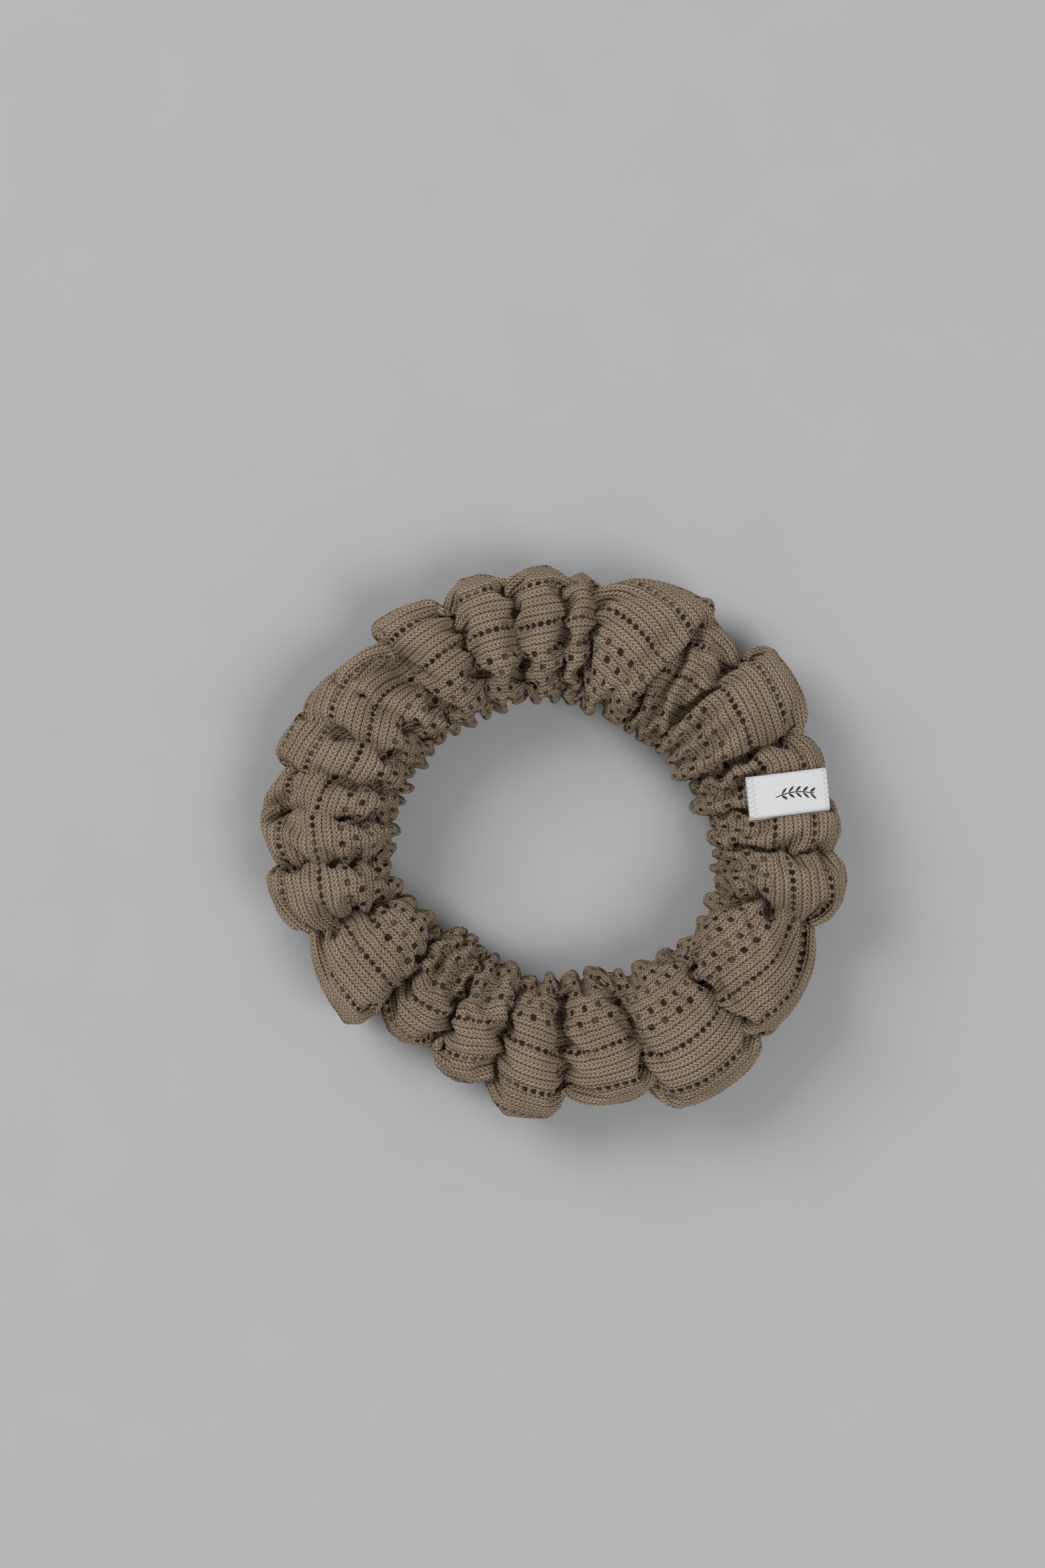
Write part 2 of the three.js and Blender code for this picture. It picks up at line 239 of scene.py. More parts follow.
def fold_curve(shape, chord, length, most):
    """The heights of a fold of this shape over a chord if it takes up this length of cloth, and
    its length so far. The fold is not taller than most."""
    x = np.linspace(0, 1, len(shape))
    low, high = 0.0, most
    for _ in range(16):
        size = (low + high) / 2
        steps = np.hypot(np.diff(x) * chord, np.diff(size * shape))
        if steps.sum() < length:
            low = size
        else:
            high = size
    return size * shape, np.concatenate([[0], np.cumsum(steps)])


def pleated_start():
    """The pleated tube before it relaxes: every pleat a plain fold that takes up its own cloth."""
    first, last, length = pleat_bounds()
    cloth_end = np.cumsum(length)
    cloth_start = cloth_end - length
    cloth = (np.arange(CELLS_ROUND) + 0.5) * CLOTH_LENGTH / CELLS_ROUND
    across = np.arange(CELLS_ACROSS) / CELLS_ACROSS
    from_inner = np.minimum(across, 1 - across)
    x = np.linspace(0, 1, 121)
    points = np.zeros((CELLS_ROUND, CELLS_ACROSS, 3))
    for k, (crest, reach, height, _, small_pleats, small_reach, lean) in enumerate(PLEATS):
        rows = np.nonzero((cloth >= cloth_start[k]) & (cloth < cloth_end[k]))[0]
        way = (cloth[rows] - cloth_start[k]) / length[k]
        inner = float(round_table(HOLE_OUTLINE, crest))
        radius, rise, out_r, out_z = section(inner, reach, height)
        span = last[k] - first[k]
        uneven = x + 0.2 / small_pleats * np.sin(np.pi * x) * np.sin(2 * np.pi * x + 2.3 * k)
        small_folds = np.abs(np.sin(np.pi * small_pleats * uneven)) ** 0.7
        small_folds = small_folds * (1 + 0.3 * np.sin(5 * x + 1.7 * k)) + 0.4 * np.sin(np.pi * x)
        for j in range(CELLS_ACROSS):
            small = np.clip((small_reach - from_inner[j]) / SMALL_PLEAT_FADE, 0, 1)
            small = small * small * (3 - 2 * small)
            steepness = np.interp(from_inner[j], [0.15, 0.4], [0.36, 0.5])
            shape = (1 - small) * (1 - (2 * x - 1) ** 2) ** steepness + small * small_folds
            most = TALLEST_FOLD - SMALL_FOLD_LESS * small
            rises, so_far = fold_curve(shape, math.radians(span) * radius[j], length[k], most)
            at = np.interp(way * so_far[-1], so_far, x)
            rises_at = np.interp(at, x, rises)
            depth = rises.max() - rises_at
            if rise[j] < 1:
                depth = depth * UNDERSIDE_FOLD
            outwards = np.clip((from_inner[j] - 0.1) / 0.3, 0, 1)
            bulge = PLEAT_BULGE * outwards * (at - 0.5) * np.sin(np.pi * rises_at / rises.max())
            leaning = lean * outwards * np.sin(np.pi * at)
            turn = np.radians(first[k] + (at + bulge) * span + leaning)
            r = radius[j] - out_r[j] * depth
            points[rows, j, 0] = HOLE_CENTRE[0] + r * np.cos(turn)
            points[rows, j, 1] = HOLE_CENTRE[1] + r * np.sin(turn)
            points[rows, j, 2] = np.maximum(rise[j] - out_z[j] * depth, LAID_HEIGHT)
    return dented(points)


def dented(points):
    """Presses the hollows into the top of the ring where a pleat folds over on itself."""
    for direction, radius, depth, size in HOLLOWS:
        turn = math.radians(direction)
        away_x = points[..., 0] - HOLE_CENTRE[0] - radius * math.cos(turn)
        away_y = points[..., 1] - HOLE_CENTRE[1] - radius * math.sin(turn)
        share = np.exp(-(away_x**2 + away_y**2) / (2 * size**2))
        share = share * np.clip((points[..., 2] - 9) / 6, 0, 1)
        points[..., 2] -= depth * share
    return points


def pull(points, along, across, rest, stretched, pressed):
    """Moves that bring each point and the one (along, across) cells on towards their rest distance,
    by one share of the difference where the cloth is stretched and another where it is pressed."""
    apart = np.roll(points, (-along, -across), (0, 1)) - points
    distance = np.sqrt((apart * apart).sum(-1)) + 1e-9
    excess = (distance - rest) / distance
    excess = np.where(excess > 0, stretched * excess, pressed * excess)
    move = apart * (0.5 * excess)[..., None]
    return move - np.roll(move, (along, across), (0, 1))


def neighbours(cells, dims):
    """Pairs of points whose cells of a grid touch, each pair once."""
    key = (cells[:, 0] * dims[1] + cells[:, 1]) * dims[2] + cells[:, 2]
    order = np.argsort(key, kind="stable")
    ordered = key[order]
    firsts, seconds = [], []
    reach = (-1, 0, 1)
    steps = [(a, b, c) for a in reach for b in reach for c in reach if (a, b, c) >= (0, 0, 0)]
    for a, b, c in steps:
        wanted = key + (a * dims[1] + b) * dims[2] + c
        start = np.searchsorted(ordered, wanted, "left")
        count = np.searchsorted(ordered, wanted, "right") - start
        for k in range(count.max()):
            one = np.nonzero(count > k)[0]
            other = order[start[one] + k]
            if (a, b, c) == (0, 0, 0):
                one, other = one[other > one], other[other > one]
            firsts.append(one)
            seconds.append(other)
    return np.concatenate(firsts), np.concatenate(seconds)


def keep_layers_apart(points, gap):
    """Pushes apart points of different layers of cloth that are closer than the gap."""
    flat = points.reshape(-1, 3)
    cells = np.floor((flat - flat.min(0)) / gap).astype(np.int64) + 1
    one, other = neighbours(cells, cells.max(0) + 2)
    rows = np.abs(one // CELLS_ACROSS - other // CELLS_ACROSS)
    columns = np.abs(one % CELLS_ACROSS - other % CELLS_ACROSS)
    rows = np.minimum(rows, CELLS_ROUND - rows)
    columns = np.minimum(columns, CELLS_ACROSS - columns)
    layers = np.maximum(rows, columns) > SAME_LAYER
    one, other = one[layers], other[layers]
    apart = flat[other] - flat[one]
    distance = np.sqrt((apart * apart).sum(1)) + 1e-9
    close = distance < gap
    one, other, apart, distance = one[close], other[close], apart[close], distance[close]
    push = apart * (0.75 * (gap - distance) / distance)[:, None]
    total = len(flat)
    met = np.bincount(one, minlength=total) + np.bincount(other, minlength=total)
    move = np.stack([np.bincount(other, p, total) - np.bincount(one, p, total) for p in push.T], 1)
    flat = flat + move / np.maximum(met, 1)[:, None]
    return flat.reshape(points.shape)


def relaxed(points, steps):
    """Lets the pleated cloth find its own length again, near where it was laid."""
    across = np.arange(CELLS_ACROSS) / CELLS_ACROSS
    from_inner = np.minimum(across, 1 - across)
    slack = np.interp(from_inner, [0, 0.08, 0.2], [INNER_SLACK, INNER_SLACK, 1])
    step_s = CLOTH_LENGTH / CELLS_ROUND * slack
    step_v = CLOTH_WIDTH / CELLS_ACROSS
    diagonal = np.hypot(step_s, step_v)
    hold = np.interp(from_inner, [0, 0.06, 0.14, 0.5], [4, 4, 1, 1])[None, :, None]
    stiffness = np.interp(from_inner, [0.1, 0.2], [0.22, 0.07])
    inner_wall = np.nonzero(from_inner < 0.13)[0]
    laid = points.copy()
    moving = np.zeros_like(points)
    for step in range(steps):
        before = points.copy()
        points = points + MOMENTUM * moving
        points = points + hold * LAID_HOLD * (1 - 0.8 * step / steps) * (laid - points)
        for _ in range(PULLS_PER_STEP):
            move = pull(points, 1, 0, step_s, *LONG_WAY) + pull(points, 0, 1, step_v, *SHORT_WAY)
            move += pull(points, 1, 1, diagonal, *SHEAR) + pull(points, 1, -1, diagonal, *SHEAR)
            points = points + 0.55 * move
            points = points + pull(points, 2, 0, 2 * step_s, 0, stiffness)
            points = points + pull(points, 0, 2, 2 * step_v, 0, BENDING)
        if step % 2 == 0:
            points = keep_layers_apart(points, LAYER_GAP)
        points[..., 2] = np.maximum(points[..., 2], RELAXED_HEIGHT)
        points = pressed_by_label(clear_of_elastic(points, inner_wall))
        moving = points - before
        speed = np.sqrt((moving * moving).sum(-1))[..., None] + 1e-9
        moving = moving * np.minimum(1, FASTEST / speed)
    return points


def clear_of_elastic(points, inner_wall):
    """The inner wall stays on the hole's side of the elastic."""
    wall = points[:, inner_wall]
    away = wall[..., :2] - HOLE_CENTRE
    radius = np.hypot(away[..., 0], away[..., 1])
    turn = np.degrees(np.arctan2(away[..., 1], away[..., 0]))
    limit = round_table(HOLE_OUTLINE, turn) + ELASTIC_INSET
    limit = limit - ELASTIC_THICKNESS / 2 - ELASTIC_CLEARANCE
    off_middle = np.abs(wall[..., 2] - ELASTIC_BASE - ELASTIC_WIDTH / 2)
    beside = off_middle < ELASTIC_WIDTH / 2 + ELASTIC_CLEARANCE
    scale = np.where(beside, np.minimum(1, limit / radius), 1)
    wall[..., :2] = HOLE_CENTRE + away * scale[..., None]
    points[:, inner_wall] = wall
    return points


def pressed_by_label(points):
    """The cloth under the label stays below it."""
    place = np.array(label_frame())
    origin = place[:3, 3] / MM
    local = (points - origin) @ place[:3, :3]
    beyond_x = np.maximum(np.abs(local[..., 0]) - LABEL_WIDTH / 2 - 0.4, 0)
    beyond_y = np.maximum(np.maximum(local[..., 1] - LABEL_LENGTH - 0.2, -3 * local[..., 1]), 0)
    ceiling = -LABEL_BEND - LABEL_CLEARANCE + 0.7 * np.hypot(beyond_x, beyond_y)
    over = np.maximum(local[..., 2] - ceiling, 0)
    return points - 0.5 * over[..., None] * place[:3, 2]


def resampled(points, count, axis):
    """The closed grid at count + 1 even places along an axis, the last one back at the first."""
    cells = points.shape[axis]
    place = np.arange(count + 1) * cells / count
    whole = np.floor(place).astype(int)
    shape = [1, 1, 1]
    shape[axis] = -1
    t = (place - whole).reshape(shape)
    a, b, c, d = (np.take(points, (whole + k) % cells, axis) for k in (-1, 0, 1, 2))
    square = 2 * a - 5 * b + 4 * c - d
    cube = 3 * b - a - 3 * c + d
    return 0.5 * (2 * b + (c - a) * t + square * t**2 + cube * t**3)


def grid_normals(points):
    """Outward normals of a grid whose last row and column repeat the first ones."""
    open_grid = points[:-1, :-1]
    run_s = np.roll(open_grid, -1, 0) - np.roll(open_grid, 1, 0)
    run_v = np.roll(open_grid, -1, 1) - np.roll(open_grid, 1, 1)
    normal = np.cross(run_v, run_s)
    normal /= np.linalg.norm(normal, axis=-1, keepdims=True) + 1e-12
    normal = np.concatenate([normal, normal[:1]], 0)
    return np.concatenate([normal, normal[:, :1]], 1)


def eyelet_rows(across):
    """How much of an eyelet row there is at each place of the cloth, the row's shift, its rate in
    eyelets per two courses, and the way to the row."""
    strength = np.zeros(across.shape)
    shift = np.zeros(across.shape)
    rate = np.ones(across.shape)
    nearest = np.full(across.shape, CLOTH_WIDTH)
    for k, row in enumerate(EYELET_ROWS):
        lace = row <= LACE_WIDTH
        reach = LACE_REACH if lace else EYELET_REACH
        for place in {row, CLOTH_WIDTH - row}:
            apart = np.mod(across - place + CLOTH_WIDTH / 2, CLOTH_WIDTH) - CLOTH_WIDTH / 2
            strength = np.maximum(strength, np.clip(1.3 - np.abs(apart) / reach, 0, 1))
            closer = np.abs(apart) < np.abs(nearest)
            nearest = np.where(closer, apart, nearest)
            shift = np.where(closer, 0.5 * (k % 2) if lace else 0, shift)
            rate = np.where(closer, 0.5 if lace else 1, rate)
    return strength, shift, rate, nearest


def knit_grid(relaxed_points):
    """The relaxed cloth at stitch scale, with the ropes of its wales and its eyelets, and what the
    knit's material needs to know about each point."""
    columns = WALES * SAMPLES_PER_WALE
    points = resampled(resampled(relaxed_points, COURSES, 0), columns, 1)
    turn = np.linspace(0, 2 * np.pi, COURSES + 1)[:, None]
    waves = [size * np.sin(times * turn + start) for times, size, start in CLOTH_SLIP]
    slip = CLOTH_TURN + sum(waves)
    across = np.linspace(0, CLOTH_WIDTH, columns + 1)[None, :] + slip
    strength, shift, rate, nearest = eyelet_rows(across)
    course = np.arange(COURSES + 1)[:, None]
    beat = np.cos(2 * np.pi * (course / 2 * rate + shift))
    spread = np.where(rate < 1, SPREAD_IN_LACE, SPREAD) * np.clip(beat, 0, 1)
    pushed = np.sign(nearest) * np.exp(-np.abs(nearest) / SPREAD_FADE) * spread
    wale = (across - pushed) / WALE
    between_legs = 0.5 + 0.5 * np.cos(4 * np.pi * wale)
    between_wales = 0.5 + 0.5 * np.cos(2 * np.pi * wale)
    relief = -ROPE_HEIGHT * between_legs * (0.5 + 0.5 * between_wales)
    relief -= EYELET_DEPTH * strength * (beat > 0.5)
    facts = {"wale": wale, "eyelet_row": strength, "eyelet_shift": shift, "eyelet_rate": rate}
    return points + relief[..., None] * grid_normals(points), facts


# ---- making objects ------------------------------------------------------------------------------

def new_object(name, mesh, material):
    mesh.materials.append(material)
    mesh.polygons.foreach_set("use_smooth", np.ones(len(mesh.polygons), bool))
    piece = bpy.data.objects.new(name, mesh)
    bpy.context.scene.collection.objects.link(piece)
    return piece


def grid_mesh(name, points, bands=1):
    """A mesh of one open sheet, from a grid of points in millimetres, and its UV as shares of the
    grid. Its baked picture is cut into bands, one over the other."""
    rows, columns = points.shape[:2]
    index = np.arange(rows * columns).reshape(rows, columns)
    faces = np.stack([index[:-1, :-1], index[:-1, 1:], index[1:, 1:], index[1:, :-1]], -1)
    faces = faces.reshape(-1, 4)
    mesh = bpy.data.meshes.new(name)
    mesh.vertices.add(rows * columns)
    mesh.vertices.foreach_set("co", (points.reshape(-1, 3) * MM).ravel().astype(np.float32))
    mesh.loops.add(faces.size)
    mesh.loops.foreach_set("vertex_index", faces.ravel().astype(np.int32))
    mesh.polygons.add(len(faces))
    mesh.polygons.foreach_set("loop_start", np.arange(0, faces.size, 4, dtype=np.int32))
    mesh.update(calc_edges=True)
    share_s = np.repeat(np.linspace(0, 1, rows), columns)
    corner_s = share_s[faces.ravel()]
    corner_v = np.tile(np.linspace(0, 1, columns), rows)[faces.ravel()]
    band = np.repeat(np.floor(share_s[faces].mean(1) * bands), 4)
    add_uv(mesh, "cloth", corner_s, corner_v)
    add_uv(mesh, "OFBake", corner_s * bands - band, (band + 0.02 + 0.96 * corner_v) / bands)
    return mesh


def add_uv(mesh, name, first, second):
    uv = np.stack([first, second], -1).ravel().astype(np.float32)
    mesh.uv_layers.new(name=name).data.foreach_set("uv", uv)


def point_attribute(mesh, name, values):
    attribute = mesh.attributes.new(name, "FLOAT", "POINT")
    attribute.data.foreach_set("value", np.asarray(values, np.float32).ravel())


def thread_mesh(name, centre, radius):
    """A closed round tube along a list of points, in millimetres."""
    sides = THREAD_SIDES
    centre = np.asarray(centre, float)
    run = np.gradient(centre, axis=0)
    run /= np.linalg.norm(run, axis=1, keepdims=True) + 1e-12
    side = np.cross(run, (0.0, 0.0, 1.0))
    side /= np.linalg.norm(side, axis=1, keepdims=True) + 1e-12
    up = np.cross(side, run)
    turn = np.arange(sides) / sides * 2 * np.pi
    ring = side[:, None] * np.cos(turn)[None, :, None] + up[:, None] * np.sin(turn)[None, :, None]
    points = centre[:, None] + radius * ring
    verts = (points.reshape(-1, 3) * MM).tolist()
    faces = []
    for i in range(len(centre) - 1):
        for j in range(sides):
            k = (j + 1) % sides
            here, after = i * sides, (i + 1) * sides
            faces.append((here + j, here + k, after + k, after + j))
    faces.append(tuple(range(sides - 1, -1, -1)))
    faces.append(tuple(range((len(centre) - 1) * sides, len(centre) * sides)))
    mesh = bpy.data.meshes.new(name)
    mesh.from_pydata(verts, [], faces)
    return mesh


# ---- materials -----------------------------------------------------------------------------------

class Nodes:
    """Short ways to write one material's nodes."""

    def __init__(self, name):
        self.material = bpy.data.materials.new(name)
        self.material.use_nodes = True
        self.tree = self.material.node_tree
        self.shader = next(n for n in self.tree.nodes if n.type == "BSDF_PRINCIPLED")

    def link(self, source, target):
        """Feeds a socket from another one, or sets it to a number or colour."""
        if isinstance(source, bpy.types.NodeSocket):
            self.tree.links.new(source, target)
        else:
            target.default_value = source

    def math(self, operation, *values):
        node = self.tree.nodes.new("ShaderNodeMath")
        node.operation = operation
        for socket, value in zip(node.inputs, values):
            self.link(value, socket)
        return node.outputs[0]

    def add(self, first, second):
        return self.math("ADD", first, second)

    def minus(self, first, second):
        return self.math("SUBTRACT", first, second)

    def times(self, first, second):
        return self.math("MULTIPLY", first, second)

    def wave(self, turns):
        """From 1 at whole turns to -1 at half ones."""
        return self.math("COSINE", self.times(turns, 2 * math.pi))

    def ripple(self, length, period):
        return self.math("SINE", self.times(length, 2 * math.pi / period))

    def ramp(self, value, low, high):
        """0 below low, 1 above high, smooth between."""
        node = self.tree.nodes.new("ShaderNodeMapRange")
        node.interpolation_type = "SMOOTHSTEP"
        self.link(value, node.inputs["Value"])
        node.inputs["From Min"].default_value = low
        node.inputs["From Max"].default_value = high
        return node.outputs["Result"]

    def noise(self, vector, scale, detail=2.0, roughness=0.5):
        node = self.tree.nodes.new("ShaderNodeTexNoise")
        self.link(vector, node.inputs["Vector"])
        node.inputs["Scale"].default_value = scale
        node.inputs["Detail"].default_value = detail
        node.inputs["Roughness"].default_value = roughness
        return node.outputs["Fac"]

    def mix(self, share, first, second):
        node = self.tree.nodes.new("ShaderNodeMix")
        node.data_type = "RGBA"
        self.link(share, node.inputs[0])
        self.link(first, node.inputs[6])
        self.link(second, node.inputs[7])
        return node.outputs[2]

    def vector(self, x, y, z=0.0):
        node = self.tree.nodes.new("ShaderNodeCombineXYZ")
        for socket, value in zip(node.inputs, (x, y, z)):
            self.link(value, socket)
        return node.outputs[0]

    def uv(self, name):
        """The two coordinates of a UV map."""
        node = self.tree.nodes.new("ShaderNodeUVMap")
        node.uv_map = name
        split = self.tree.nodes.new("ShaderNodeSeparateXYZ")
        self.tree.links.new(node.outputs[0], split.inputs[0])
        return split.outputs[0], split.outputs[1]

    def place(self):
        """Where the point is in its object, in metres."""
        return self.tree.nodes.new("ShaderNodeTexCoord").outputs["Object"]

    def attribute(self, name):
        """One number of the mesh's points."""
        node = self.tree.nodes.new("ShaderNodeAttribute")
        node.attribute_name = name
        return node.outputs["Fac"]

    def bump(self, height, distance, strength):
        node = self.tree.nodes.new("ShaderNodeBump")
        self.link(height, node.inputs["Height"])
        node.inputs["Distance"].default_value = distance
        node.inputs["Strength"].default_value = strength
        self.tree.links.new(node.outputs[0], self.shader.inputs["Normal"])

    def finish(self, colour, roughness, sheen=0.0, gloss=0.5):
        self.link(colour, self.shader.inputs["Base Color"])
        self.link(roughness, self.shader.inputs["Roughness"])
        self.shader.inputs["Sheen Weight"].default_value = sheen
        self.shader.inputs["Specular IOR Level"].default_value = gloss
        return self.material


def rgba(red, green, blue):
    return (red, green, blue, 1.0)


def knit_material():
    """Fine pointelle knit: ropes of V stitches, eyelets, and yarn that varies a little. Painted
    shade darkens the gaps between stitch legs and wales, and the eyelets.
    """
    n = Nodes("pointelle_knit")
    share_s = n.uv("cloth")[0]
    place = n.place()
    wobble = n.times(n.minus(n.noise(place, 900.0, 1.0), 0.5), 0.3)
    course = n.times(share_s, COURSES)
    wale = n.add(n.attribute("wale"), n.times(wobble, 0.2))
    from_middle = n.math("ABSOLUTE", n.minus(n.math("FRACT", wale), 0.5))
    phase = n.add(n.add(course, n.times(from_middle, STITCH_SLANT)), wobble)
    leg = n.add(0.5, n.times(0.5, n.wave(phase)))
    leg = n.add(0.25, n.times(0.75, n.math("POWER", leg, 0.6)))
    strand = n.math("MAXIMUM", n.math("SINE", n.times(from_middle, 2 * math.pi)), 0.0)
    middle = n.times(0.3, n.minus(1.0, n.ramp(from_middle, 0.0, 0.1)))
    stitch = n.times(leg, n.add(n.math("POWER", strand, 0.6), middle))

    rate = n.attribute("eyelet_rate")
    turns = n.add(n.times(n.times(course, 0.5), rate), n.attribute("eyelet_shift"))
    narrower_in_lace = n.times(n.minus(1.0, rate), 1.1)
    beat = n.minus(n.wave(turns), narrower_in_lace)
    in_row = n.ramp(n.attribute("eyelet_row"), 0.1, 0.5)
    hole = n.times(n.ramp(beat, -0.25, 0.25), in_row)
    openness = n.add(0.45, n.times(0.5, n.ramp(n.noise(place, 260.0, 1.0), 0.38, 0.56)))
    hole = n.times(hole, openness)

    fibre = n.noise(place, 3800.0, 3.0, 0.7)
    tone = n.ramp(n.noise(place, 160.0, 3.0), 0.3, 0.7)
    # Painted shade goes in the gaps between stitch legs and wales; the lighter colour is the yarn's
    # own
    light = n.mix(tone, rgba(0.452, 0.338, 0.236), rgba(0.520, 0.404, 0.288))
    painted_shade = n.mix(tone, rgba(0.054, 0.026, 0.009), rgba(0.072, 0.038, 0.015))
    raised = n.times(n.ramp(stitch, 0.0, 0.75), n.ramp(fibre, 0.0, 0.5))
    yarn = n.mix(raised, painted_shade, light)
    # The eyelets are painted near-black brown: painted shade inside the holes, over the pits in the
    # mesh
    colour = n.mix(hole, yarn, rgba(0.034, 0.018, 0.008))
    height = n.minus(n.add(stitch, n.times(fibre, 0.3)), n.times(hole, 1.4))
    n.bump(height, 0.0003, 1.0)
    return n.finish(colour, 0.92, sheen=0.05, gloss=0.15)


def elastic_material():
    """White braided elastic: crossing strands in narrow ribs, with painted shade in the grooves
    between them and mottling from its fibres.
    """
    n = Nodes("braided_elastic")
    along, across = n.uv("cloth")
    rib = n.times(along, 250.0)
    row = n.times(across, 16.0)
    cross = n.math("PINGPONG", n.add(rib, n.math("PINGPONG", row, 1.0)), 0.5)
    height = n.ramp(cross, 0.0, 0.45)
    fibre = n.noise(n.place(), 3000.0, 2.0)
    # Painted shade: grey where the braid is low, in its grooves; lighter on the strands, mottled by
    # fibres
    colour = n.mix(n.times(height, fibre), rgba(0.42, 0.40, 0.36), rgba(0.80, 0.78, 0.73))
    n.bump(height, 0.0002, 0.8)
    return n.finish(colour, 0.8, sheen=0.1)


def thread_material():
    """Sewing thread in the knit's colour, mottled by its fibres."""
    n = Nodes("sewing_thread")
    place = n.place()
    fibre = n.noise(place, 2500.0, 2.0)
    colour = n.mix(fibre, rgba(0.26, 0.20, 0.14), rgba(0.50, 0.40, 0.29))
    n.bump(fibre, 0.0001, 0.6)
    return n.finish(colour, 0.65, sheen=0.1)


def satin_material():
    """White satin ribbon, with a beaded selvage and a small sprig of leaves as a plain mark."""
    n = Nodes("satin_ribbon")
    share_y, share_x = n.uv("cloth")
    x = n.times(share_x, LABEL_WIDTH)
    y = n.times(share_y, RIBBON_LENGTH)
    weave = n.ripple(y, 0.16)
    grain = n.noise(n.vector(n.times(x, 0.25), n.times(y, 8.0)), 3.0, 2.0)
    far = LABEL_WIDTH - FAR_SELVAGE
    near_edge = n.minus(1.0, n.ramp(x, NEAR_SELVAGE - 0.1, NEAR_SELVAGE + 0.1))
    far_edge = n.ramp(x, far - 0.1, far + 0.1)
    picot = n.times(n.add(near_edge, far_edge), n.times(n.ripple(y, 0.75), n.ripple(x, 1.4)))
    white = n.mix(grain, rgba(0.88, 0.88, 0.89), rgba(0.95, 0.95, 0.95))
    colour = n.mix(sprig(n, x, y), white, rgba(0.02, 0.02, 0.022))
    height = n.add(n.times(weave, 0.12), n.times(picot, 1.6))
    height = n.add(height, n.times(grain, 0.5))
    n.bump(height, 0.00008, 0.8)
    return n.finish(colour, 0.42, sheen=0.15)


def sprig(n, x, y):
    """Ink of a stem with paired leaves, on the ply that faces up."""
    stem_y = RIBBON_LENGTH - LABEL_TAIL - 2.6
    stem_from, stem_to, stem_half_width = 5.0, 12.2, 0.09
    leaf_step, leaf_half_length, leaf_half_width = 1.35, 0.62, 0.2
    curve = n.times(n.math("SINE", n.times(n.minus(x, stem_from), 0.45)), 0.5)
    off = n.minus(y, n.minus(stem_y, curve))
    on_stem = n.times(n.math("GREATER_THAN", x, stem_from), n.math("LESS_THAN", x, stem_to))
    ink = n.times(on_stem, n.math("LESS_THAN", n.math("ABSOLUTE", off), stem_half_width))
    for k in range(5):
        root = stem_from + 1.1 + leaf_step * k
        for side in (-1, 1):
            along = n.minus(n.minus(x, root), 0.55)
            rise = n.minus(n.times(off, side), 0.5)
            long_way = n.add(n.times(along, 0.8), n.times(rise, 0.6))
            wide_way = n.minus(n.times(rise, 0.8), n.times(along, 0.6))
            reach = n.math("ABSOLUTE", n.math("DIVIDE", long_way, leaf_half_length))
            breadth = n.math("ABSOLUTE", n.math("DIVIDE", wide_way, leaf_half_width))
            size = n.add(n.math("POWER", reach, 2.0), n.math("POWER", breadth, 2.0))
            ink = n.math("MAXIMUM", ink, n.math("LESS_THAN", size, 1.0))
    return ink


# ---- pieces --------------------------------------------------------------------------------------

def sleeve_piece(relaxed_points, material):
    points, facts = knit_grid(relaxed_points)
    mesh = grid_mesh("sleeve", points, CLOTH_BANDS)
    for name, values in facts.items():
        point_attribute(mesh, name, values)
    return new_object("sleeve", mesh, material)


def elastic_piece(material):
    """The braided strip round the hole, standing on edge, its ends lapped at the closing seam."""
    lap_from = LAP_MIDDLE - LAP_ARC / 2
    turns = np.linspace(lap_from, lap_from + 360 + LAP_ARC, 300)
    radius = round_table(HOLE_OUTLINE, turns) + ELASTIC_INSET
    spread = np.clip((turns - lap_from - 360 + 12) / 10, 0, 1)
    radius = radius + (ELASTIC_THICKNESS + 0.3) * spread * spread * (3 - 2 * spread)
    edge = np.linspace(0, 2 * np.pi, 40)
    power = 0.35
    side = ELASTIC_THICKNESS / 2 * rounded(np.cos(edge), power)
    rise = ELASTIC_WIDTH / 2 * rounded(np.sin(edge), power)
    points = np.zeros((len(turns), len(edge), 3))
    angle = np.radians(turns)[:, None]
    points[..., 0] = HOLE_CENTRE[0] + (radius[:, None] + side[None, :]) * np.cos(angle)
    points[..., 1] = HOLE_CENTRE[1] + (radius[:, None] + side[None, :]) * np.sin(angle)
    points[..., 2] = ELASTIC_BASE + ELASTIC_WIDTH / 2 + rise[None, :]
    return new_object("elastic", grid_mesh("elastic", points), material)


def ring_points(turns, inset, height):
    """Points a set way out from the edge of the hole, at one height."""
    radius = round_table(HOLE_OUTLINE, turns) + inset
    angle = np.radians(turns)
    x = HOLE_CENTRE[0] + radius * np.cos(angle)
    y = HOLE_CENTRE[1] + radius * np.sin(angle)
    return np.stack([x, y, np.full(angle.shape, height)], -1)


def long_seam_piece(material):
    """Zigzag stitches round the ring, in the lower part of the sleeve."""
    turns = np.linspace(8, 362, 1400)
    zigzag = SEAM_ZIGZAG * np.sin(turns * 0.8 * np.pi)
    points = ring_points(turns, SEAM_INSET + zigzag, SEAM_HEIGHT)
    mesh = thread_mesh("long_seam_thread", points, SEAM_THREAD)
    return new_object("long_seam_thread", mesh, material)


def closing_seam_piece(relaxed_points, material):
    """Zigzag stitches just inside the cloth, across its two joined ends."""
    ends = resampled(resampled(relaxed_points, CELLS_ROUND, 0), CLOSING_STITCHES * 8, 1)
    inside = -grid_normals(ends)
    step = np.arange(ends.shape[1])
    side = np.abs(np.mod(step / 4, 2) - 1) - 0.5
    run = ends[1] - ends[-2]
    run /= np.linalg.norm(run, axis=-1, keepdims=True)
    points = ends[0] + inside[0] * 0.75 + run * (CLOSING_ZIGZAG * side)[:, None]
    mesh = thread_mesh("closing_seam", points, CLOSING_THREAD)
    return new_object("closing_seam", mesh, material)


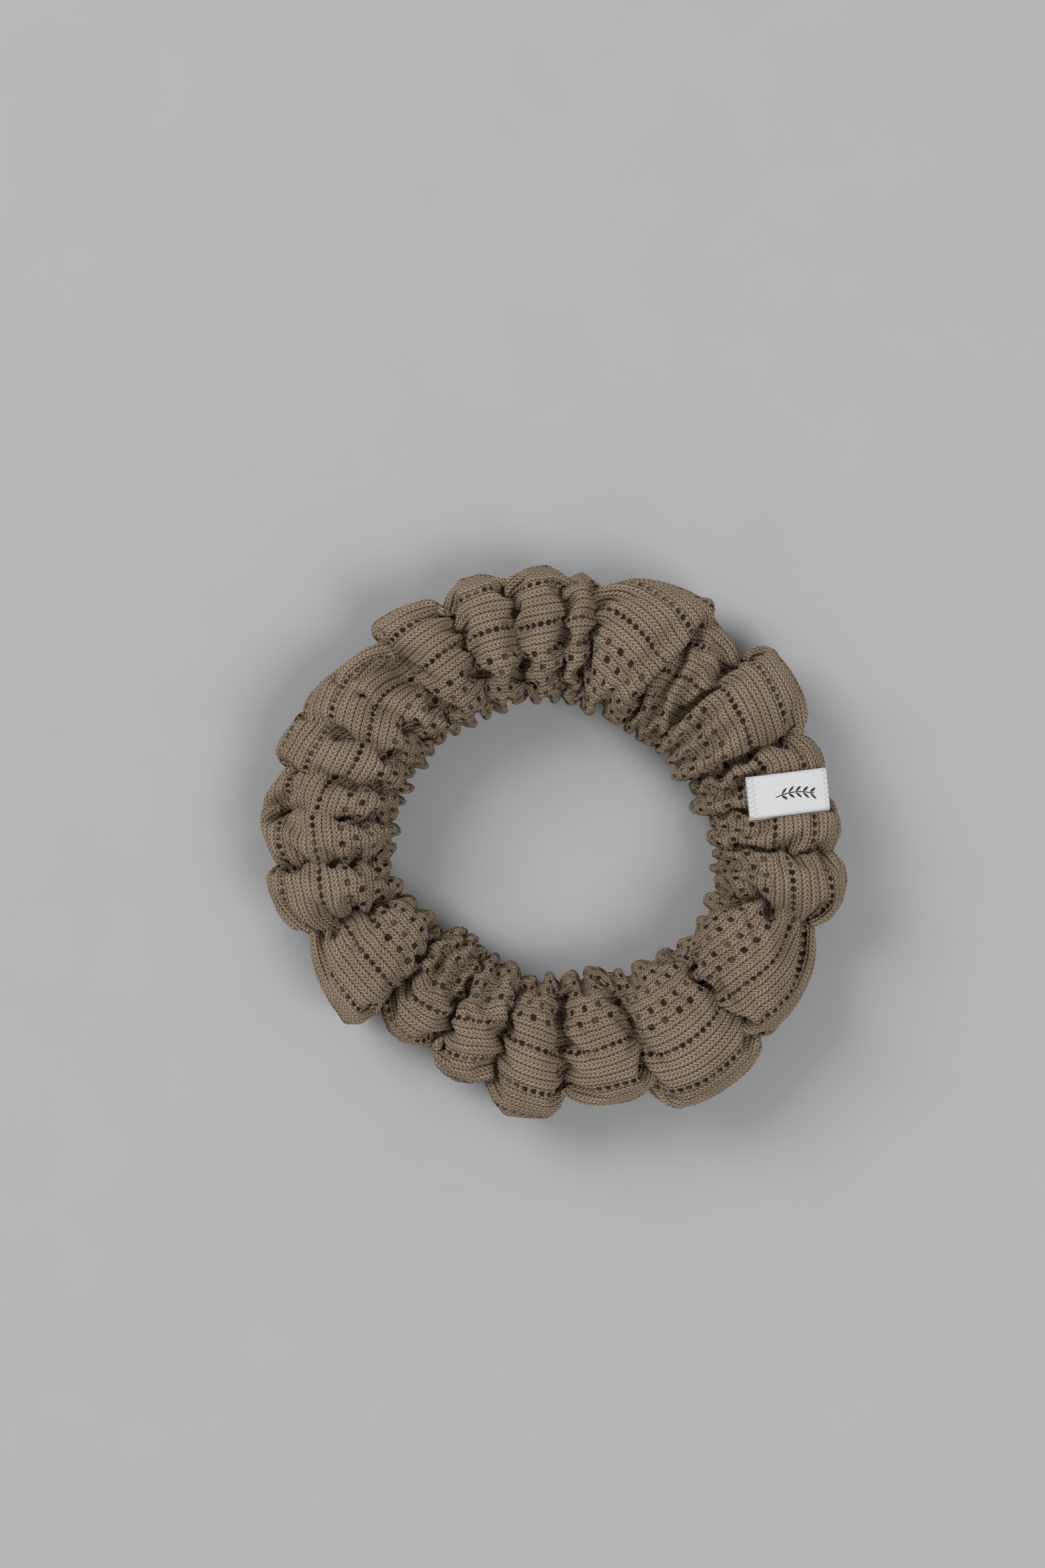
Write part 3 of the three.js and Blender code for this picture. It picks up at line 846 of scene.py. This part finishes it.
def label_frame():
    """Where the label lies: X along its sewn edge, Y towards its fold."""
    joints = frame["record"]["behaviour"]["joints"]
    hinge = next(joint for joint in joints if joint["name"] == "label_flap")
    angles = Euler([math.radians(angle) for angle in LABEL_TILT], "XYZ")
    return Matrix.Translation(Vector(hinge["pos_m"])) @ angles.to_matrix().to_4x4()


def label_piece(material):
    """Ribbon folded in two: along the lower ply, round the fold and back along the upper one."""
    fold_at = LABEL_LENGTH - LABEL_BEND
    lower = np.stack([np.linspace(-LABEL_TAIL, fold_at, 30), np.full(30, -LABEL_BEND)], -1)
    turn = np.linspace(-np.pi / 2, np.pi / 2, 14)[1:-1]
    fold = np.stack([fold_at + LABEL_BEND * np.cos(turn), LABEL_BEND * np.sin(turn)], -1)
    upper = lower[::-1] * (1, -1)
    path = np.concatenate([lower, fold, upper])
    path[:, 1] *= np.interp(path[:, 0], [-LABEL_TAIL, 0.6, fold_at], [0.3, 0.8, 1.0])
    tail = np.minimum(path[:, 0], 0)
    path[:, 0] -= 0.6 * tail
    path[:, 1] += 0.9 * tail
    wide = np.linspace(-LABEL_WIDTH / 2, LABEL_WIDTH / 2, 61)
    points = np.zeros((len(path), len(wide), 3))
    points[..., 0] = wide[None, :]
    points[..., 1] = path[:, :1]
    crown = LABEL_CROWN * np.cos(wide / LABEL_WIDTH * np.pi)
    points[..., 2] = path[:, 1:] + crown[None, :] - 0.1
    mesh = grid_mesh("ribbon_label", points)
    mesh.transform(label_frame())
    label = new_object("ribbon_label", mesh, material)
    shell = label.modifiers.new("ply", "SOLIDIFY")
    shell.thickness = LABEL_PLY * MM
    shell.offset = 0
    return label


# ---- floor, light and camera ---------------------------------------------------------------------

def floor_piece():
    n = Nodes("paper")
    grain = n.noise(n.place(), 60.0, 4.0)
    colour = n.mix(grain, rgba(0.560, 0.560, 0.565), rgba(0.590, 0.590, 0.595))
    material = n.finish(colour, 0.85)
    bpy.ops.mesh.primitive_plane_add(size=4.0)
    floor = bpy.context.active_object
    floor.name = "floor"
    floor.data.materials.append(material)


def area_light(name, place, size, power):
    data = bpy.data.lights.new(name, "AREA")
    data.shape = "SQUARE"
    data.size = size
    data.energy = power
    light = bpy.data.objects.new(name, data)
    light.location = place
    light.rotation_euler = (-Vector(place)).to_track_quat("-Z", "Y").to_euler()
    bpy.context.scene.collection.objects.link(light)


def studio():
    world = bpy.data.worlds.new("studio")
    world.use_nodes = True
    background = world.node_tree.nodes["Background"]
    background.inputs["Color"].default_value = rgba(0.95, 0.97, 1.0)
    background.inputs["Strength"].default_value = 0.27
    bpy.context.scene.world = world
    area_light("window", (-1.1, 0.8, 1.2), 1.0, 15.5)
    area_light("fill", (0.7, -0.5, 1.3), 0.8, 8.0)
    bpy.context.scene.view_settings.view_transform = "Standard"


def photo_camera():
    """Straight above, as far off as a 50 mm lens on a small sensor has to be to see long_side."""
    long_side, lens, sensor = 286.9, 50.0, 22.3
    aim = (-6.4, 10.6, 10.0)
    data = bpy.data.cameras.new("camera")
    data.sensor_fit = "VERTICAL"
    data.sensor_height = sensor
    data.lens = lens
    data.clip_start = 0.01
    camera = bpy.data.objects.new("camera", data)
    camera.location = Vector((aim[0], aim[1], aim[2] + long_side * lens / sensor)) * MM
    bpy.context.scene.collection.objects.link(camera)
    bpy.context.scene.camera = camera


# ---- build ---------------------------------------------------------------------------------------

photo_camera()
studio()
floor_piece()

sleeve_points = relaxed(pleated_start(), RELAX_STEPS)
thread = thread_material()
sleeve = sleeve_piece(sleeve_points, knit_material())
elastic = elastic_piece(elastic_material())
long_seam = long_seam_piece(thread)
closing_seam = closing_seam_piece(sleeve_points, thread)
label = label_piece(satin_material())

for piece in (sleeve, elastic, long_seam, closing_seam):
    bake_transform(piece)
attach(label, "label")
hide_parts("sleeve_far_half", "sleeve_label_half")
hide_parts("elastic_middle", "elastic_inner_end", "elastic_outer_end")
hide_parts("long_seam_thread_far", "long_seam_thread_label")
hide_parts("closing_seam_thread")
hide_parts("label")
for used in frame["nodes"]["elastic_lap_thread"].material_slots:
    used.material = thread
